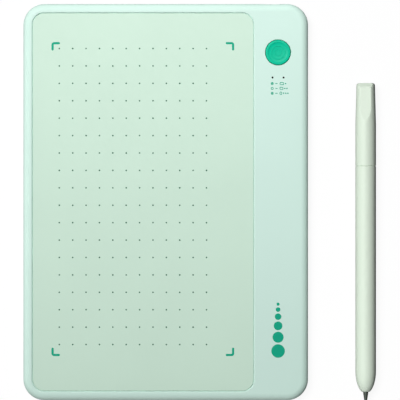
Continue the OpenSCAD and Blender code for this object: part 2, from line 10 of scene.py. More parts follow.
import bmesh
import bpy
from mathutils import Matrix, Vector


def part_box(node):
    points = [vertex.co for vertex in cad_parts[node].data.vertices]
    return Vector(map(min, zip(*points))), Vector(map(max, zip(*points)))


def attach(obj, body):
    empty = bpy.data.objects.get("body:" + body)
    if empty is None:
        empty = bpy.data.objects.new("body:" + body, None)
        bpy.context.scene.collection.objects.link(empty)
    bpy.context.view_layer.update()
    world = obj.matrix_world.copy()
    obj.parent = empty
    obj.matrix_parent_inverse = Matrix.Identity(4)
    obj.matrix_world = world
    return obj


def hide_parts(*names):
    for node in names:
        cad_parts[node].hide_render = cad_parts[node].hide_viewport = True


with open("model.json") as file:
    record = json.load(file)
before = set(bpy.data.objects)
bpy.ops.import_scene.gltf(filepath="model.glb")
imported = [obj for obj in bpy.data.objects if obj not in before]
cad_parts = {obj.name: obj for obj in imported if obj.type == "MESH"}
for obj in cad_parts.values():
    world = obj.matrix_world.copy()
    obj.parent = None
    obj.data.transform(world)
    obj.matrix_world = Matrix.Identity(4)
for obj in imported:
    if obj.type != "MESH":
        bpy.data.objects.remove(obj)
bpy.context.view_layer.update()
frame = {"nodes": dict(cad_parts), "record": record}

MM = 0.001


# ---- Sizes from the frame, in millimetres ----

def node_box(node):
    """A CAD node's lower and upper corners."""
    lo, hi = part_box(node)
    return lo / MM, hi / MM


COVER_LO, COVER_HI = node_box("top_cover")
BASE_LO, BASE_HI = node_box("bottom_cover")
SHEET_LO, SHEET_HI = node_box("drawing_sheet")
BUTTON_LO, BUTTON_HI = node_box("mode_button")
LIGHTS_LO, LIGHTS_HI = node_box("light_guide")
SOCKET_LO, SOCKET_HI = node_box("usb_c_shell")
FEET_LO, FEET_HI = node_box("rubber_feet")
BARREL_LO, BARREL_HI = node_box("pen_barrel")
CAP_HI = node_box("pen_rear_cap")[1]
NIB_LO, NIB_HI = node_box("pen_nib")
ROCKER_LO, ROCKER_HI = node_box("side_rocker")

# The two covers: corners seen from above, edges, walls, the lip inside their joint, roof and floor
BODY_X, BODY_Y = (COVER_LO.x + COVER_HI.x) / 2, (COVER_LO.y + COVER_HI.y) / 2
BODY_W, BODY_L = COVER_HI.x - COVER_LO.x, COVER_HI.y - COVER_LO.y
TOP_Z, BASE_Z = COVER_HI.z, BASE_LO.z
CORNER_R = 11
TOP_EDGE_R = 3.8
BASE_EDGE_R = 2.8
WALL = 2.1
LIP = 0.9
LIP_GAP = 0.1
LIP_Z = COVER_LO.z
SPLIT_GAP = 0.2
JOINT_Z = BASE_HI.z
ROOF_T = 1.6
FLOOR_T = 1.4

# The pocket and the drawing sheet in it
SHEET_GAP = 0.3
POCKET_X = (SHEET_LO.x + SHEET_HI.x) / 2
POCKET_Y = (SHEET_LO.y + SHEET_HI.y) / 2
POCKET_W = SHEET_HI.x - SHEET_LO.x + 2 * SHEET_GAP
POCKET_L = SHEET_HI.y - SHEET_LO.y + 2 * SHEET_GAP
RIM = (BODY_L - POCKET_L) / 2
POCKET_R = CORNER_R - RIM
POCKET_Z = SHEET_LO.z - 0.1

# The mode button and its hole, and the two status lights
BUTTON_X, BUTTON_Y = (BUTTON_LO.x + BUTTON_HI.x) / 2, (BUTTON_LO.y + BUTTON_HI.y) / 2
FLANGE_R = (BUTTON_HI.x - BUTTON_LO.x) / 2
HOLE_R = FLANGE_R - 0.5
BUTTON_R = HOLE_R - 0.25
LIGHT_Y = (LIGHTS_LO.y + LIGHTS_HI.y) / 2
LIGHT_MID_X = (LIGHTS_LO.x + LIGHTS_HI.x) / 2
GUIDE_END = 1.2
LIGHT_HALF_PITCH = (LIGHTS_HI.x - LIGHTS_LO.x) / 2 - GUIDE_END
LIGHT_R = 0.55

# One rubber foot, and how deep it sits in the bottom cover
FOOT_L, FOOT_W = 23.8, 6.8
FOOT_SINK = 0.6

# The pen: barrel, nose, the seam between barrel and rear cap, and the tapering tail with its flat
PEN_X, PEN_Z = (BARREL_LO.x + BARREL_HI.x) / 2, (BARREL_LO.z + BARREL_HI.z) / 2
PEN_R = (BARREL_HI.x - BARREL_LO.x) / 2
NOSE_Y = BARREL_LO.y
PEN_L = CAP_HI.y - NOSE_Y
NOSE_L = 10.8
NOSE_END_R = 2.1
NOSE_A = NOSE_L / math.sqrt(1 - (NOSE_END_R / PEN_R) ** 2)
BORE_R = 1.5
BARREL_IN_R = 4.15
SEAM_GAP = 0.2
# The soft edges at the seam, as (depth under the pen's surface, distance from the edge along the pen)
SEAM_EDGE = ((0, 0.3), (0.03, 0.15), (0.15, 0))
SEAM_S = BARREL_HI.y - NOSE_Y + SEAM_GAP / 2
TAIL_R = 4.8
# Degrees that the flat is turned about the pen's axis, towards the tablet
FLAT_TURN = 6

CORNER_STEPS = 20
# Edges that bend by more degrees than this stay sharp
SHARP = 32

# The softened chamfers of the pocket's mouth and of the sheet's edge, as (distance back from the wall, drop)
POCKET_CHAMFER = ((0, 0.36), (0.03, 0.28), (0.28, 0.03), (0.36, 0))
SHEET_CHAMFER = ((0, 0.2), (0.02, 0.14), (0.14, 0.02), (0.2, 0))


# ---- Mesh helpers ----

def make_object(name, points, faces):
    """An object from points in millimetres."""
    mesh = bpy.data.meshes.new(name)
    mesh.from_pydata([Vector(p) * MM for p in points], [], faces)
    mesh.validate()
    piece = bpy.data.objects.new(name, mesh)
    bpy.context.scene.collection.objects.link(piece)
    return piece


def shade(piece):
    """Outward faces, smooth shading with sharp edges kept, and flats that stay flat."""
    bm = bmesh.new()
    bm.from_mesh(piece.data)
    bmesh.ops.remove_doubles(bm, verts=bm.verts, dist=0.5e-6)
    bmesh.ops.recalc_face_normals(bm, faces=bm.faces)
    for face in bm.faces:
        face.smooth = True
    for edge in bm.edges:
        edge.smooth = edge.calc_face_angle(0) < math.radians(SHARP)
    bm.to_mesh(piece.data)
    bm.free()
    normals = piece.modifiers.new("flat_faces_first", "WEIGHTED_NORMAL")
    normals.keep_sharp = True
    normals.weight = 80
    return piece


def loft(rings, closed=False):
    """Points and faces of a skin over rings of equal length. Its ends are capped, unless closed joins the
    last ring to the first."""
    count = len(rings[0])
    points = [p for ring in rings for p in ring]
    faces = []
    for k in range(len(rings) if closed else len(rings) - 1):
        a, b = k * count, (k + 1) % len(rings) * count
        faces += [(a + i, a + (i + 1) % count, b + (i + 1) % count, b + i) for i in range(count)]
    if not closed:
        faces.append(tuple(reversed(range(count))))
        faces.append(tuple(range(len(points) - count, len(points))))
    return points, faces


def rounded_outline(x, y, width, length, radius, inset, z, steps=CORNER_STEPS):
    """A rounded rectangle's points, inset from its outline, at height z."""
    points = []
    for quarter, (sx, sy) in enumerate(((1, 1), (-1, 1), (-1, -1), (1, -1))):
        for i in range(steps + 1):
            a = math.radians(90 * (quarter + i / steps))
            points.append((
                x + sx * (width / 2 - radius) + (radius - inset) * math.cos(a),
                y + sy * (length / 2 - radius) + (radius - inset) * math.sin(a), z,
            ))
    return points


def arc(radius, first, last, steps):
    """(x, y) along an arc about 0, from one angle to another in degrees."""
    angles = [math.radians(first + (last - first) * i / steps) for i in range(steps + 1)]
    return [(radius * math.cos(a), radius * math.sin(a)) for a in angles]


def join_meshes(parts):
    """Several (points, faces) as one."""
    points, faces = [], []
    for part_points, part_faces in parts:
        faces += [tuple(i + len(points) for i in face) for face in part_faces]
        points += part_points
    return points, faces


def prism(outline, z0, z1):
    """An upright prism over (x, y) points."""
    return loft([[(x, y, z0) for x, y in outline], [(x, y, z1) for x, y in outline]])


def disc(x, y, radius, z0, z1, steps):
    """An upright round prism."""
    return prism([(x + px, y + py) for px, py in arc(radius, 0, 360 - 360 / steps, steps - 1)], z0, z1)


def stadium(x, y, length, width, steps=16):
    """A slot's outline along X."""
    half = (length - width) / 2
    right = [(x + half + px, y + py) for px, py in arc(width / 2, -90, 90, steps)]
    left = [(x - half + px, y + py) for px, py in arc(width / 2, 90, 270, steps)]
    return right + left


def lathe(profile, place, steps, closed=False):
    """A turned shape: profile is (radius, height), and place puts (x, y, height) in the frame."""
    rings = []
    for radius, height in profile:
        angles = [2 * math.pi * i / steps for i in range(steps)]
        rings.append([place(radius * math.cos(a), radius * math.sin(a), height) for a in angles])
    return loft(rings, closed=closed)


def cut(piece, tool):
    """Takes tool's (points, faces) out of piece."""
    cutter = make_object("cutter", *tool)
    shade(cutter).modifiers.clear()
    boolean = piece.modifiers.new("cut", "BOOLEAN")
    boolean.operation = "DIFFERENCE"
    boolean.solver = "EXACT"
    boolean.object = cutter
    evaluated = piece.evaluated_get(bpy.context.evaluated_depsgraph_get())
    result = bpy.data.meshes.new_from_object(evaluated)
    piece.modifiers.remove(boolean)
    old, piece.data = piece.data, result
    bpy.data.meshes.remove(old)
    bpy.data.objects.remove(cutter)


def bevel_where(piece, wanted, width, segments=3):
    """Rounds the edges whose two ends satisfy wanted(point in millimetres)."""
    bm = bmesh.new()
    bm.from_mesh(piece.data)
    bmesh.ops.remove_doubles(bm, verts=bm.verts, dist=0.5e-6)
    edges = [
        e for e in bm.edges
        if all(wanted(v.co / MM) for v in e.verts) and e.calc_face_angle(0) > math.radians(SHARP)
    ]
    bmesh.ops.bevel(
        bm, geom=edges, offset=width * MM, segments=segments, profile=0.5, affect="EDGES", clamp_overlap=True
    )
    bm.to_mesh(piece.data)
    bm.free()


def near_circle(x, y, radius, z):
    """A test for points on a horizontal circle."""
    return lambda p: abs(p.z - z) < 0.02 and abs(math.hypot(p.x - x, p.y - y) - radius) < 0.03


# ---- Materials ----

def new_material(name):
    """A material with its nodes and links."""
    material = bpy.data.materials.new(name)
    material.use_nodes = True
    return material, material.node_tree.nodes, material.node_tree.links


def srgb(r, g, b):
    """8-bit screen values as linear colour."""
    def channel(c):
        c /= 255
        return c / 12.92 if c <= 0.04045 else ((c + 0.055) / 1.055) ** 2.4
    return channel(r), channel(g), channel(b), 1


def noise(nodes, links, coords, scale, detail=2.0, stretch=(1, 1, 1)):
    """A noise texture in object space; scale is in features per metre."""
    place = nodes.new("ShaderNodeMapping")
    place.inputs["Scale"].default_value = stretch
    links.new(coords, place.inputs["Vector"])
    texture = nodes.new("ShaderNodeTexNoise")
    texture.inputs["Scale"].default_value = scale
    texture.inputs["Detail"].default_value = detail
    links.new(place.outputs["Vector"], texture.inputs["Vector"])
    return texture.outputs["Fac"]


def ramp(nodes, links, value, low, high):
    """The middle of a noise's values, spread over low to high."""
    spread = nodes.new("ShaderNodeMapRange")
    spread.inputs["From Min"].default_value = 0.3
    spread.inputs["From Max"].default_value = 0.7
    spread.inputs["To Min"].default_value = low
    spread.inputs["To Max"].default_value = high
    links.new(value, spread.inputs["Value"])
    return spread.outputs["Result"]


def moulded(
    name, colour, roughness, grain, depth, metallic=0.0, mottle=0.03, stretch=(1, 1, 1), specular=0.5
):
    """Plastic, rubber or metal: colour that varies softly over centimetres, roughness that varies over
    millimetres, and a moulded or brushed grain. grain is the size of a grain and depth its height."""
    material, nodes, links = new_material(name)
    shader = nodes["Principled BSDF"]
    shader.inputs["Metallic"].default_value = metallic
    shader.inputs["Specular IOR Level"].default_value = specular
    coords = nodes.new("ShaderNodeTexCoord").outputs["Object"]

    tint = nodes.new("ShaderNodeMix")
    tint.data_type = "RGBA"
    tint.inputs["A"].default_value = tuple(c * (1 - mottle) for c in colour[:3]) + (1,)
    tint.inputs["B"].default_value = tuple(min(1, c * (1 + mottle)) for c in colour[:3]) + (1,)
    links.new(noise(nodes, links, coords, 25, 3), tint.inputs["Factor"])
    links.new(tint.outputs["Result"], shader.inputs["Base Color"])

    patches = noise(nodes, links, coords, 400, 3, stretch)
    links.new(ramp(nodes, links, patches, roughness * 0.9, roughness * 1.1), shader.inputs["Roughness"])

    bump = nodes.new("ShaderNodeBump")
    bump.inputs["Distance"].default_value = depth * MM
    bump.inputs["Strength"].default_value = 0.6
    links.new(noise(nodes, links, coords, 1 / (grain * MM), 3, stretch), bump.inputs["Height"])
    links.new(bump.outputs["Normal"], shader.inputs["Normal"])
    return material


MATERIALS = {
    "cover": moulded("mint_shell", srgb(210, 238, 227), 0.5, 0.25, 0.006, specular=0.25),
    "drawing_surface": moulded("sage_sheet", srgb(206, 233, 215), 0.62, 0.16, 0.012),
    "button_teal": moulded("teal_button", srgb(0, 194, 154), 0.38, 0.3, 0.004, specular=0.12),
    "pen_shell": moulded("pen_shell", srgb(225, 239, 222), 0.45, 0.3, 0.003, specular=0.3),
    "rocker_green": moulded("rocker_shell", srgb(198, 216, 198), 0.42, 0.25, 0.006),
    "nib_graphite": moulded("nib_plastic", srgb(70, 78, 70), 0.35, 0.1, 0.004),
    "foot_rubber": moulded("foot_rubber", srgb(92, 104, 99), 0.85, 0.2, 0.03, mottle=0.08),
    "light_window": moulded("light_window", srgb(14, 20, 17), 0.3, 0.4, 0.002, specular=0.1),
    "printed_teal": moulded("teal_ink", srgb(0, 168, 134), 0.6, 0.12, 0.006, mottle=0.05, specular=0.2),
    "printed_green": moulded("green_ink", srgb(44, 106, 80), 0.6, 0.12, 0.006, mottle=0.05, specular=0.2),
    "steel": moulded("steel", srgb(200, 200, 198), 0.3, 0.15, 0.004, metallic=1.0, stretch=(1, 0.05, 1)),
    "copper": moulded("copper_wire", srgb(190, 110, 62), 0.3, 0.1, 0.005, metallic=1.0),
    "circuit_board": moulded("solder_mask", srgb(30, 92, 58), 0.35, 0.5, 0.01, mottle=0.1),
    "film": moulded("amber_film", srgb(205, 140, 50), 0.25, 0.6, 0.004),
    "adhesive": moulded("adhesive", srgb(235, 235, 230), 0.3, 0.5, 0.01),
    "foam": moulded("foam", srgb(70, 72, 74), 0.95, 0.4, 0.15, mottle=0.15),
    "chip_black": moulded("moulded_black", srgb(38, 40, 42), 0.5, 0.12, 0.008),
    "connector_ivory": moulded("ivory_plastic", srgb(232, 228, 212), 0.45, 0.3, 0.006),
    "silicone": moulded("silicone", srgb(225, 228, 226), 0.6, 0.3, 0.01),
    "ferrite": moulded("ferrite", srgb(74, 72, 72), 0.7, 0.15, 0.02, mottle=0.1),
}


def dress(piece, slot_name):
    """Gives a piece the one material of its slot."""
    piece.data.materials.clear()
    piece.data.materials.append(MATERIALS[slot_name])


tablet_pieces, pen_pieces = [], []


def finish_piece(piece, slot_name, body, *replaced):
    """Material, slot and body of a visual piece, and the CAD nodes that it stands in for."""
    dress(piece, slot_name)
    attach(piece, body)
    (tablet_pieces if body in ("tablet", "mode_button") else pen_pieces).append(piece)
    if replaced:
        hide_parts(*replaced)


# ---- Camera, lights and floor ----

# What the picture spans at half the tablet's height, and how far right and up of the tablet's middle it looks
FRAME_W = 208.1
AIM_RIGHT, AIM_UP = 17.82, 1.1
LENS, SENSOR = 200, 36


def make_camera():
    """Straight down, so far off that the view is nearly parallel."""
    data = bpy.data.cameras.new("camera")
    data.lens, data.sensor_width = LENS, SENSOR
    camera = bpy.data.objects.new("camera", data)
    bpy.context.scene.collection.objects.link(camera)
    aim = Vector((BODY_X + AIM_RIGHT, BODY_Y + AIM_UP, (TOP_Z + BASE_Z) / 2)) * MM
    camera.location = aim + Vector((0, 0, FRAME_W * MM * LENS / SENSOR))
    data.clip_end = 10
    bpy.context.scene.camera = camera


def area_light(name, place, target, size, power, receivers=None):
    """A soft box; receivers, if given, are the only pieces it lights."""
    data = bpy.data.lights.new(name, "AREA")
    data.shape = "RECTANGLE"
    data.size, data.size_y = size
    data.energy = power
    light = bpy.data.objects.new(name, data)
    bpy.context.scene.collection.objects.link(light)
    light.location = place
    light.rotation_mode = "QUATERNION"
    light.rotation_quaternion = (Vector(target) - Vector(place)).to_track_quat("-Z", "Y")
    if receivers:
        lit = bpy.data.collections.new(name + "_receivers")
        for piece in receivers:
            lit.objects.link(piece)
        light.light_linking.receiver_collection = lit


def seen_or_lighting(nodes, links, lighting, seen):
    """What the eye sees directly, and what lights other things."""
    mix = nodes.new("ShaderNodeMixShader")
    links.new(nodes.new("ShaderNodeLightPath").outputs["Is Camera Ray"], mix.inputs[0])
    links.new(lighting, mix.inputs[1])
    links.new(seen, mix.inputs[2])
    return mix.outputs[0]


# How much of the light the floor gives back to the pieces, and to the eye with its own glow added
FLOOR_DULL, FLOOR_BRIGHT, FLOOR_GLOW = 0.16, 0.15, 0.92
SKY_COLOUR, SKY_STRENGTH = (0.93, 0.97, 1, 1), 0.05


def make_stage():
    """A white floor that glows to the eye, so that shadows on it stay faint, under a dim sky that the eye
    sees as white."""
    half = 3000
    corners = [(-half, -half, 0), (half, -half, 0), (half, half, 0), (-half, half, 0)]
    floor = make_object("floor", corners, [(0, 1, 2, 3)])
    material, nodes, links = new_material("white_sweep")
    nodes.remove(nodes["Principled BSDF"])
    dull = nodes.new("ShaderNodeBsdfDiffuse")
    dull.inputs["Color"].default_value = (FLOOR_DULL, FLOOR_DULL, FLOOR_DULL, 1)
    bright = nodes.new("ShaderNodeBsdfDiffuse")
    bright.inputs["Color"].default_value = (FLOOR_BRIGHT, FLOOR_BRIGHT, FLOOR_BRIGHT, 1)
    glow = nodes.new("ShaderNodeEmission")
    glow.inputs["Strength"].default_value = FLOOR_GLOW
    added = nodes.new("ShaderNodeAddShader")
    links.new(bright.outputs[0], added.inputs[0])
    links.new(glow.outputs[0], added.inputs[1])
    out = seen_or_lighting(nodes, links, dull.outputs[0], added.outputs[0])
    links.new(out, nodes["Material Output"].inputs["Surface"])
    floor.data.materials.append(material)

    world = bpy.data.worlds.new("studio")
    bpy.context.scene.world = world
    world.use_nodes = True
    nodes, links = world.node_tree.nodes, world.node_tree.links
    around = nodes["Background"]
    around.inputs["Color"].default_value = SKY_COLOUR
    around.inputs["Strength"].default_value = SKY_STRENGTH
    behind = nodes.new("ShaderNodeBackground")
    behind.inputs["Color"].default_value = (1, 1, 1, 1)
    out = seen_or_lighting(nodes, links, around.outputs[0], behind.outputs[0])
    links.new(out, nodes["World Output"].inputs["Surface"])

    bpy.context.scene.view_settings.view_transform = "Standard"


def make_lights():
    """One soft key from the rear left for everything. The tablet alone also gets a light near its rear edge,
    which makes it paler there, and low cards that open up its left, front and rear edges. The pen alone gets
    a strip that lies along it."""
    bodies = frame["record"]["behaviour"]["bodies"]
    tablet = [frame["nodes"][node] for node in bodies["tablet"] + bodies["mode_button"]] + tablet_pieces
    pen_nodes = bodies["pen"] + bodies["nib"] + bodies["side_rocker"]
    pen = [frame["nodes"][node] for node in pen_nodes] + pen_pieces
    area_light("key", (-0.78, 0.6, 2.1), (0, 0, 0), (1.0, 1.0), 28.6)
    area_light("rear", (0.0, 0.27, 0.44), (0, 0.05, 0), (0.4, 0.2), 1.38, tablet)
    card = (0.24, 0.03)
    area_light("left_card", (-0.36, 0, 0.02), (0, 0, 0.005), card, 0.32, tablet)
    area_light("front_card", (-0.02, -0.36, 0.02), (-0.02, 0, 0.005), card, 0.22, tablet)
    area_light("rear_card", (-0.02, 0.38, 0.02), (-0.02, 0, 0.005), card, 0.16, tablet)
    area_light("pen_strip", (-0.2, -0.02, 0.48), (0.086, -0.02, 0.005), (0.9, 0.3), 2.1, pen)


# ---- Tablet ----

def body_outline(inset, z):
    """The covers' outline from above, inset, at height z."""
    return rounded_outline(BODY_X, BODY_Y, BODY_W, BODY_L, CORNER_R, inset, z)


def pocket_outline(inset, z):
    """The pocket's outline, inset, at height z."""
    return rounded_outline(POCKET_X, POCKET_Y, POCKET_W, POCKET_L, POCKET_R, inset, z)


def edge_rings(outline, edge_r, z_mid, rise, steps=14):
    """Rings round an outer edge of radius edge_r, from the wall to the flat; rise is 1 up or -1 down."""
    return [outline(edge_r - x, z_mid + rise * y) for x, y in arc(edge_r, 0, 90, steps)]


def socket_slot():
    """The prism that the socket's mouth cuts through both covers."""
    x, z = (SOCKET_LO.x + SOCKET_HI.x) / 2, (SOCKET_LO.z + SOCKET_HI.z) / 2
    width, clearance = 9.6, 0.33
    outline = stadium(x, z, width, SOCKET_HI.z - SOCKET_LO.z + 2 * clearance)
    front, rear = COVER_HI.y - 6, COVER_HI.y + 2
    return loft([[(px, y, pz) for px, pz in outline] for y in (front, rear)])


# Small edges: at the covers' joint line, and round the button's hole
JOINT_EDGE = 0.15
HOLE_EDGE = 0.22


def make_top_cover():
    """The upper shell, with the pocket in its top and holes for the button, the lights and the socket."""
    inner_r = TOP_EDGE_R - WALL
    floor_ring = [pocket_outline(0, POCKET_Z)]
    pocket_edge = [pocket_outline(-back, TOP_Z - drop) for back, drop in POCKET_CHAMFER]
    outer = edge_rings(body_outline, TOP_EDGE_R, TOP_Z - TOP_EDGE_R, 1)
    wall_foot = JOINT_Z + SPLIT_GAP
    lower = [
        body_outline(0, wall_foot + JOINT_EDGE),
        body_outline(JOINT_EDGE * 0.3, wall_foot + JOINT_EDGE * 0.3),
        body_outline(JOINT_EDGE, wall_foot),
        body_outline(WALL - LIP, wall_foot),
        body_outline(WALL - LIP, LIP_Z),
        body_outline(WALL, LIP_Z),
    ]
    roof_z = TOP_Z - ROOF_T
    inner = [body_outline(WALL + inner_r - x, roof_z - inner_r + y) for x, y in arc(inner_r, 0, 90, 6)]
    rings = floor_ring + pocket_edge + outer[::-1] + lower + inner
    cover = make_object("top_cover_shell", *loft(rings))
    hole_z0, hole_z1 = TOP_Z - 4, TOP_Z + 1
    cut(cover, disc(BUTTON_X, BUTTON_Y, HOLE_R, hole_z0, hole_z1, 96))
    for side in (-1, 1):
        cut(cover, disc(LIGHT_MID_X + side * LIGHT_HALF_PITCH, LIGHT_Y, LIGHT_R, hole_z0, hole_z1, 32))
    cut(cover, socket_slot())
    bevel_where(cover, near_circle(BUTTON_X, BUTTON_Y, HOLE_R, TOP_Z), HOLE_EDGE, 4)
    shade(cover)
    finish_piece(cover, "cover", "tablet", "top_cover")


def foot_places():
    """The middles of the four feet."""
    for x in (FEET_LO.x + FOOT_L / 2, FEET_HI.x - FOOT_L / 2):
        for y in (FEET_LO.y + FOOT_W / 2, FEET_HI.y - FOOT_W / 2):
            yield x, y


def make_bottom_cover():
    """The lower shell, with a rabbet for the upper one's lip, recesses for the feet and the socket's slot."""
    rabbet, rabbet_z = WALL - LIP - LIP_GAP, JOINT_Z - 0.8
    inner = [
        body_outline(WALL, BASE_Z + FLOOR_T),
        body_outline(WALL, rabbet_z),
        body_outline(rabbet, rabbet_z),
        body_outline(rabbet, JOINT_Z),
        body_outline(JOINT_EDGE, JOINT_Z),
        body_outline(JOINT_EDGE * 0.3, JOINT_Z - JOINT_EDGE * 0.3),
        body_outline(0, JOINT_Z - JOINT_EDGE),
    ]
    outer = edge_rings(body_outline, BASE_EDGE_R, BASE_Z + BASE_EDGE_R, -1)
    cover = make_object("bottom_cover_shell", *loft(inner + outer))
    play = 0.2
    for x, y in foot_places():
        recess = stadium(x, y, FOOT_L + play, FOOT_W + play, 24)
        cut(cover, prism(recess, BASE_Z - 1, BASE_Z + FOOT_SINK))
    cut(cover, socket_slot())
    shade(cover)
    finish_piece(cover, "cover", "tablet", "bottom_cover")


def make_feet():
    """Four pads with softly rounded lower edges and a shallow groove round each sole."""
    edge = 0.35
    groove_depth = 0.12
    profile = [(0, BASE_Z + FOOT_SINK)] + [(edge - px, edge - py) for px, py in arc(edge, 0, 90, 5)]
    profile += [(0.9, 0), (1.0, groove_depth), (1.3, groove_depth), (1.4, 0)]

    def ring(x, y, inset, z):
        return [(px, py, z) for px, py in stadium(x, y, FOOT_L - 2 * inset, FOOT_W - 2 * inset, 16)]
    parts = [loft([ring(x, y, inset, z) for inset, z in profile]) for x, y in foot_places()]
    feet = shade(make_object("rubber_foot_pads", *join_meshes(parts)))
    finish_piece(feet, "foot_rubber", "tablet", "rubber_feet")


def make_sheet():
    """The drawing sheet, whose outline is the pocket's less the gap round it."""
    width, length = POCKET_W - 2 * SHEET_GAP, POCKET_L - 2 * SHEET_GAP

    def ring(inset, z):
        return rounded_outline(POCKET_X, POCKET_Y, width, length, POCKET_R - SHEET_GAP, inset, z)
    rings = [ring(0, SHEET_LO.z)] + [ring(back, SHEET_HI.z - drop) for back, drop in SHEET_CHAMFER]
    sheet = shade(make_object("drawing_sheet_surface", *loft(rings)))
    finish_piece(sheet, "drawing_surface", "tablet", "drawing_sheet")


def make_button():
    """A low cap with a rounded shoulder, a slightly dished top and two concentric rings."""
    top = BUTTON_HI.z
    shoulder, rim_w, slope_w = 0.5, 1.1, 0.35
    step, dish = 0.25, 0.3
    tiny = 0.02
    dish_r = BUTTON_R - rim_w - slope_w

    def dish_z(radius):
        return top - step - dish * (1 - (radius / dish_r) ** 2)

    def on_dish(radius):
        return radius, dish_z(radius)

    def ridge(middle, width, height):
        half = width / 2
        z = dish_z(middle)
        return [
            on_dish(middle + half), (middle + half * 0.6, z + height),
            (middle - half * 0.6, z + height), on_dish(middle - half),
        ]

    def place(x, y, z):
        return BUTTON_X + x, BUTTON_Y + y, z
    outer_ridge, inner_ridge = ridge(3.5, 0.7, 0.14), ridge(1.6, 0.6, 0.12)
    low, flange_top = BUTTON_LO.z, BUTTON_LO.z + 0.9
    profile = [(tiny, low), (FLANGE_R, low + 0.1), (FLANGE_R, flange_top), (BUTTON_R, flange_top)]
    profile += [(BUTTON_R - shoulder + x, top - shoulder + y) for x, y in arc(shoulder, 0, 90, 8)]
    profile += [(BUTTON_R - rim_w, top), (dish_r + slope_w * 0.3, top - step * 0.85)]
    profile += [on_dish(dish_r), on_dish(4.4)] + outer_ridge + [on_dish(2.6)] + inner_ridge
    profile += [on_dish(0.8), (tiny, dish_z(0))]
    cap = make_object("mode_button_cap", *lathe(profile, place, 128))
    shade(cap)
    finish_piece(cap, "button_teal", "mode_button", "mode_button")


# ---- Printing ----

# How far printing stands out of its surface and reaches into it
INK_T = 0.02
SINK = 0.01


def ink_on(surface_z):
    """The lower and upper z of printing on a surface."""
    return surface_z - SINK, surface_z + INK_T


def make_dot_grid():
    """The grid of small dots, from its rear left one."""
    columns, rows = 12, 18
    pitch_x, pitch_y = 6.94, 9.03
    first_x, first_y = BODY_X - 55.15, BODY_Y + 79.65
    dot_r = 0.4
    z0, z1 = ink_on(SHEET_HI.z)
    dots = [
        disc(first_x + pitch_x * i, first_y - pitch_y * j, dot_r, z0, z1, 16)
        for i in range(columns) for j in range(rows)
    ]
    finish_piece(shade(make_object("printed_dots", *join_meshes(dots))), "printed_green", "tablet")


def corner_mark(x, y, sx, sy, z0, z1):
    """An L with a rounded corner at (x, y) and round ends, whose arms run along sx and sy."""
    arm, stroke, bend = 4.4, 1.15, 1.4
    outer = [(bend - px, bend - py) for px, py in arc(bend, 0, 90, 8)]
    inner_r = bend - stroke
    inner = [(bend - px, bend - py) for px, py in arc(inner_r, 90, 0, 6)]
    end = stroke / 2
    tip_y = [(end - px, arm - end + py) for px, py in arc(end, 0, 180, 8)]
    tip_x = [(arm - end + px, end - py) for px, py in arc(end, -90, 90, 8)]
    outline = tip_y[::-1] + outer + tip_x[::-1] + inner
    return prism([(x + sx * px, y + sy * py) for px, py in outline], z0, z1)


def make_corner_marks():
    """The four marks that bound the active area."""
    z0, z1 = ink_on(SHEET_HI.z)
    left, right, top, bottom = BODY_X - 59.2, BODY_X + 35.55, BODY_Y + 83.0, BODY_Y - 79.85
    marks = [
        corner_mark(x, y, sx, sy, z0, z1)
        for x, sx in ((left, 1), (right, -1)) for y, sy in ((top, -1), (bottom, 1))
    ]
    finish_piece(shade(make_object("printed_corner_marks", *join_meshes(marks))), "printed_teal", "tablet")


def frame_mark(x, y, width, height, stroke, z0, z1):
    """The outline of a rounded rectangle, as a closed band."""
    def ring(inset, z):
        return rounded_outline(x, y, width, height, 0.5, inset, z, 3)
    return loft([ring(0, z0), ring(0, z1), ring(stroke, z1), ring(stroke, z0)], closed=True)


def make_legend():
    """Which light stands for which device. Each row has a lamp, full or open, a dash, a screen and one to
    three dots."""
    z0, z1 = ink_on(TOP_Z)
    stroke, screen_stroke, dot_r, core_r = 0.36, 0.34, 0.36, 0.3
    first_y, row_pitch, dot_pitch = BODY_Y + 61.45, 2.5, 1.1
    lamp_x, dash_x, screen_x0 = BODY_X + 55.25, BODY_X + 57.45, BODY_X + 59.1
    lamp_w, dash_w = 1.4, 1.3
    screens = ((2.3, 1.5), (1.9, 1.6), (1.3, 1.7))
    open_lamp_row = 1
    parts = []
    for row, (width, height) in enumerate(screens):
        y = first_y - row_pitch * row
        parts.append(frame_mark(lamp_x, y, lamp_w, lamp_w, stroke, z0, z1))
        if row != open_lamp_row:
            parts.append(disc(lamp_x, y, core_r, z0, z1, 12))
        parts.append(prism(stadium(dash_x, y, dash_w, stroke, 6), z0, z1))
        parts.append(frame_mark(screen_x0 + width / 2, y, width, height, screen_stroke, z0, z1))
        first_dot_x = screen_x0 + width + 0.8
        parts += [disc(first_dot_x + dot_pitch * i, y, dot_r, z0, z1, 12) for i in range(row + 1)]
    finish_piece(shade(make_object("printed_legend", *join_meshes(parts))), "printed_teal", "tablet")


def make_motif():
    """A row of brush sizes up the strip, from large to small."""
    z0, z1 = ink_on(TOP_Z)
    x, low_y, length = BODY_X + 58.3, BODY_Y - 80.7, 28.6
    sizes = [7.0, 5.7, 4.5, 3.4, 2.4, 1.6]
    gap = (length - sum(sizes)) / (len(sizes) - 1)
    parts, y = [], low_y
    for size in sizes:
        parts.append(disc(x, y + size / 2, size / 2, z0, z1, 64))
        y += size + gap
    finish_piece(shade(make_object("printed_brush_sizes", *join_meshes(parts))), "printed_teal", "tablet")


# ---- Pen ----

def on_pen(x, up, s):
    """A point beside the pen's axis, s along it from the nose."""
    return PEN_X + x, NOSE_Y + s, PEN_Z + up


def nose_radius(s):
    """The nose is part of an ellipse that runs into the barrel."""
    return PEN_R * math.sqrt(1 - ((NOSE_L - s) / NOSE_A) ** 2)


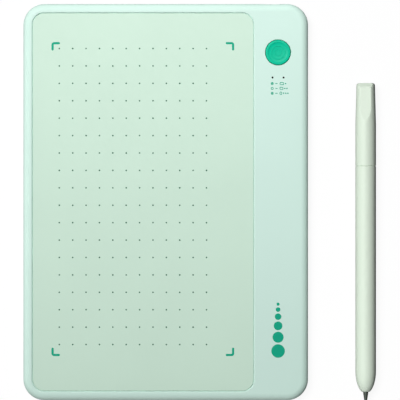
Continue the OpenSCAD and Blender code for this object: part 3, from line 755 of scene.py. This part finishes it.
def make_barrel():
    """The barrel with its nose, its bore and the slot for the side switch's key."""
    steps = 28
    nose_s = [NOSE_L * (0.02 + 0.98 * (i / steps) ** 1.2) for i in range(steps + 1)]
    end = SEAM_S - SEAM_GAP / 2
    chamber_s, bore_end_s, bore_end_r = 10, 6, 3.3
    profile = [(BORE_R, 0.2), (BORE_R + 0.2, 0), (NOSE_END_R - 0.25, 0), (NOSE_END_R - 0.05, 0.08)]
    profile += [(nose_radius(s), s) for s in nose_s]
    profile += [(PEN_R, s) for s in (30, 40, 50, 65, 80, 100)]
    profile += [(PEN_R - inset, end - back) for inset, back in SEAM_EDGE] + [(BARREL_IN_R, end)]
    profile += [(BARREL_IN_R, chamber_s), (bore_end_r, bore_end_s), (BORE_R, bore_end_s)]
    barrel = make_object("pen_barrel_shell", *lathe(profile, on_pen, 128, closed=True))
    play = 0.5
    width, length = ROCKER_HI.x - ROCKER_LO.x + play, ROCKER_HI.y - ROCKER_LO.y + play
    x, y = (ROCKER_LO.x + ROCKER_HI.x) / 2, (ROCKER_LO.y + ROCKER_HI.y) / 2
    slot = [(x + across, y + along) for along, across in stadium(0, 0, length, width, 24)]
    cut(barrel, prism(slot[::-1], -1, PEN_Z))
    shade(barrel)
    finish_piece(barrel, "pen_shell", "pen", "pen_barrel")


def smooth_min(a, b, blend):
    """The smaller of two values, rounded over where they are about equal."""
    return min(a, b) - max(blend - abs(a - b), 0) ** 2 / (4 * blend)


def make_pen_cap():
    """The tapering rear end, with a flat on its upper side that is turned a little to the tablet."""
    taper_s = PEN_L - 21.6
    spigot_s, spigot_r = SEAM_S - 8, BARREL_IN_R - 0.05
    tail_round = 1.2
    # Along the pen: the start and end of the flat's ramp, the start of the bevel, and a place past the pen
    flat_s = (taper_s + 0.5, taper_s + 8.7, PEN_L - 2.1, PEN_L + 0.5)
    flat_depth, bevel_drop, soft = 0.9, 1.6, 0.12

    def radius_at(s):
        return PEN_R - (PEN_R - TAIL_R) * max(0, s - taper_s) / (PEN_L - taper_s)

    # The flat's height over the pen's axis at each of these places
    flat_h = (
        PEN_R + 0.05, radius_at(flat_s[1]) - flat_depth, radius_at(flat_s[2]) - flat_depth,
        TAIL_R - flat_depth - bevel_drop,
    )

    def flat_height(s):
        for k in range(3):
            if flat_s[k] <= s <= flat_s[k + 1]:
                t = (s - flat_s[k]) / (flat_s[k + 1] - flat_s[k])
                if k == 0:
                    t = t * t * (3 - 2 * t)
                return flat_h[k] + (flat_h[k + 1] - flat_h[k]) * t
        return PEN_R + 1

    turn_cos, turn_sin = math.cos(math.radians(FLAT_TURN)), math.sin(math.radians(FLAT_TURN))

    def place(x, up, s):
        across, out = x * turn_cos + up * turn_sin, up * turn_cos - x * turn_sin
        out = smooth_min(out, flat_height(s), soft)
        return on_pen(across * turn_cos - out * turn_sin, across * turn_sin + out * turn_cos, s)
    tail_s = PEN_L - tail_round
    end_r = radius_at(tail_s) - tail_round
    start = SEAM_S + SEAM_GAP / 2
    seam_floor_s, seam_r = start - SEAM_GAP + 0.01, PEN_R - 0.45
    tiny, spigot_edge = 0.02, 0.3
    profile = [(tiny, spigot_s), (spigot_r - spigot_edge, spigot_s), (spigot_r, spigot_s + spigot_edge)]
    profile += [(spigot_r, seam_floor_s), (seam_r, seam_floor_s), (seam_r, start)]
    profile += [(PEN_R - inset, start + back) for inset, back in SEAM_EDGE[::-1]]
    profile += [(PEN_R, SEAM_S + ahead) for ahead in (4, 10, 16)]
    steps = 52
    taper = [taper_s + (tail_s - taper_s) * i / steps for i in range(steps + 1)]
    profile += [(radius_at(s), s) for s in taper]
    profile += [(end_r + x, tail_s + y) for x, y in arc(tail_round, 0, 90, 10)[1:]]
    profile += [(end_r * k, PEN_L) for k in (0.75, 0.5, 0.25)] + [(tiny, PEN_L)]
    cap = shade(make_object("pen_rear_cap_shell", *lathe(profile, place, 160)))
    finish_piece(cap, "pen_shell", "pen", "pen_rear_cap")


def make_nib():
    """The writing tip, which swells to a collar inside the nose, and its long stem."""
    tip_s = NIB_LO.y - NOSE_Y
    end_s = NIB_HI.y - NOSE_Y
    tip_r, stem_r, collar_r = 0.45, 0.85, 1.33
    tiny = 0.01
    cone = ((0.5, 0.75), (0.75, 1.4), (0.86, 2.2), (1.02, 3.3), (1.2, 4.4), (collar_r - 0.04, 5.05))
    profile = [(tiny, tip_s)] + [(x, tip_s + tip_r + y) for x, y in arc(tip_r, -78, -8, 8)]
    profile += [(radius, tip_s + ahead) for radius, ahead in cone] + [(collar_r, tip_s + 5.25)]
    profile += [(collar_r, 1.4), (collar_r - 0.1, 1.5), (stem_r, 1.9)]
    profile += [(stem_r, end_s - 0.2), (stem_r - 0.2, end_s), (tiny, end_s)]
    nib = shade(make_object("pen_nib_tip", *lathe(profile, on_pen, 64)))
    finish_piece(nib, "nib_graphite", "nib", "pen_nib")


def make_rocker():
    """The side switch's key: a slot-shaped cap that follows the barrel's curve, with a dip in its middle."""
    mid_x, mid_y = (ROCKER_LO.x + ROCKER_HI.x) / 2, (ROCKER_LO.y + ROCKER_HI.y) / 2
    width, length = ROCKER_HI.x - ROCKER_LO.x, ROCKER_HI.y - ROCKER_LO.y
    surface_r, inner = PEN_Z - ROCKER_LO.z, 3.95
    dip_half, dip = 3.2, 0.3
    edge, tiny = 0.35, 0.02

    def ring(inset, drop):
        points = []
        for along, across in stadium(0, 0, length - 2 * inset, width - 2 * inset, 20):
            down = math.sqrt(surface_r ** 2 - across ** 2) - drop
            down -= dip * max(0, 1 - (along / dip_half) ** 2) ** 2
            points.append((mid_x + across, mid_y + along, PEN_Z - down))
        return points
    outline = stadium(0, 0, length, width, 20)
    base = [(mid_x + across, mid_y + along, PEN_Z - inner) for along, across in outline]
    rings = [base] + [ring(edge - x, edge - y) for x, y in arc(edge, 0, 90, 5)]
    rings += [ring(inset, 0) for inset in (0.7, 1.0, 1.3, 1.6, 1.85, width / 2 - tiny)]
    cap = shade(make_object("side_rocker_key", *loft(rings)))
    finish_piece(cap, "rocker_green", "side_rocker", "side_rocker")


# ---- The whole ----

def dress_cad_nodes():
    """Every CAD node gets the material that the record names."""
    slots = {part["node"]: part["material_slot"] for part in frame["record"]["subparts"]}
    for name, piece in frame["nodes"].items():
        dress(piece, slots[name])


make_camera()
make_stage()
dress_cad_nodes()
make_top_cover()
make_bottom_cover()
make_feet()
make_sheet()
make_button()
make_dot_grid()
make_corner_marks()
make_legend()
make_motif()
make_barrel()
make_pen_cap()
make_nib()
make_rocker()
make_lights()
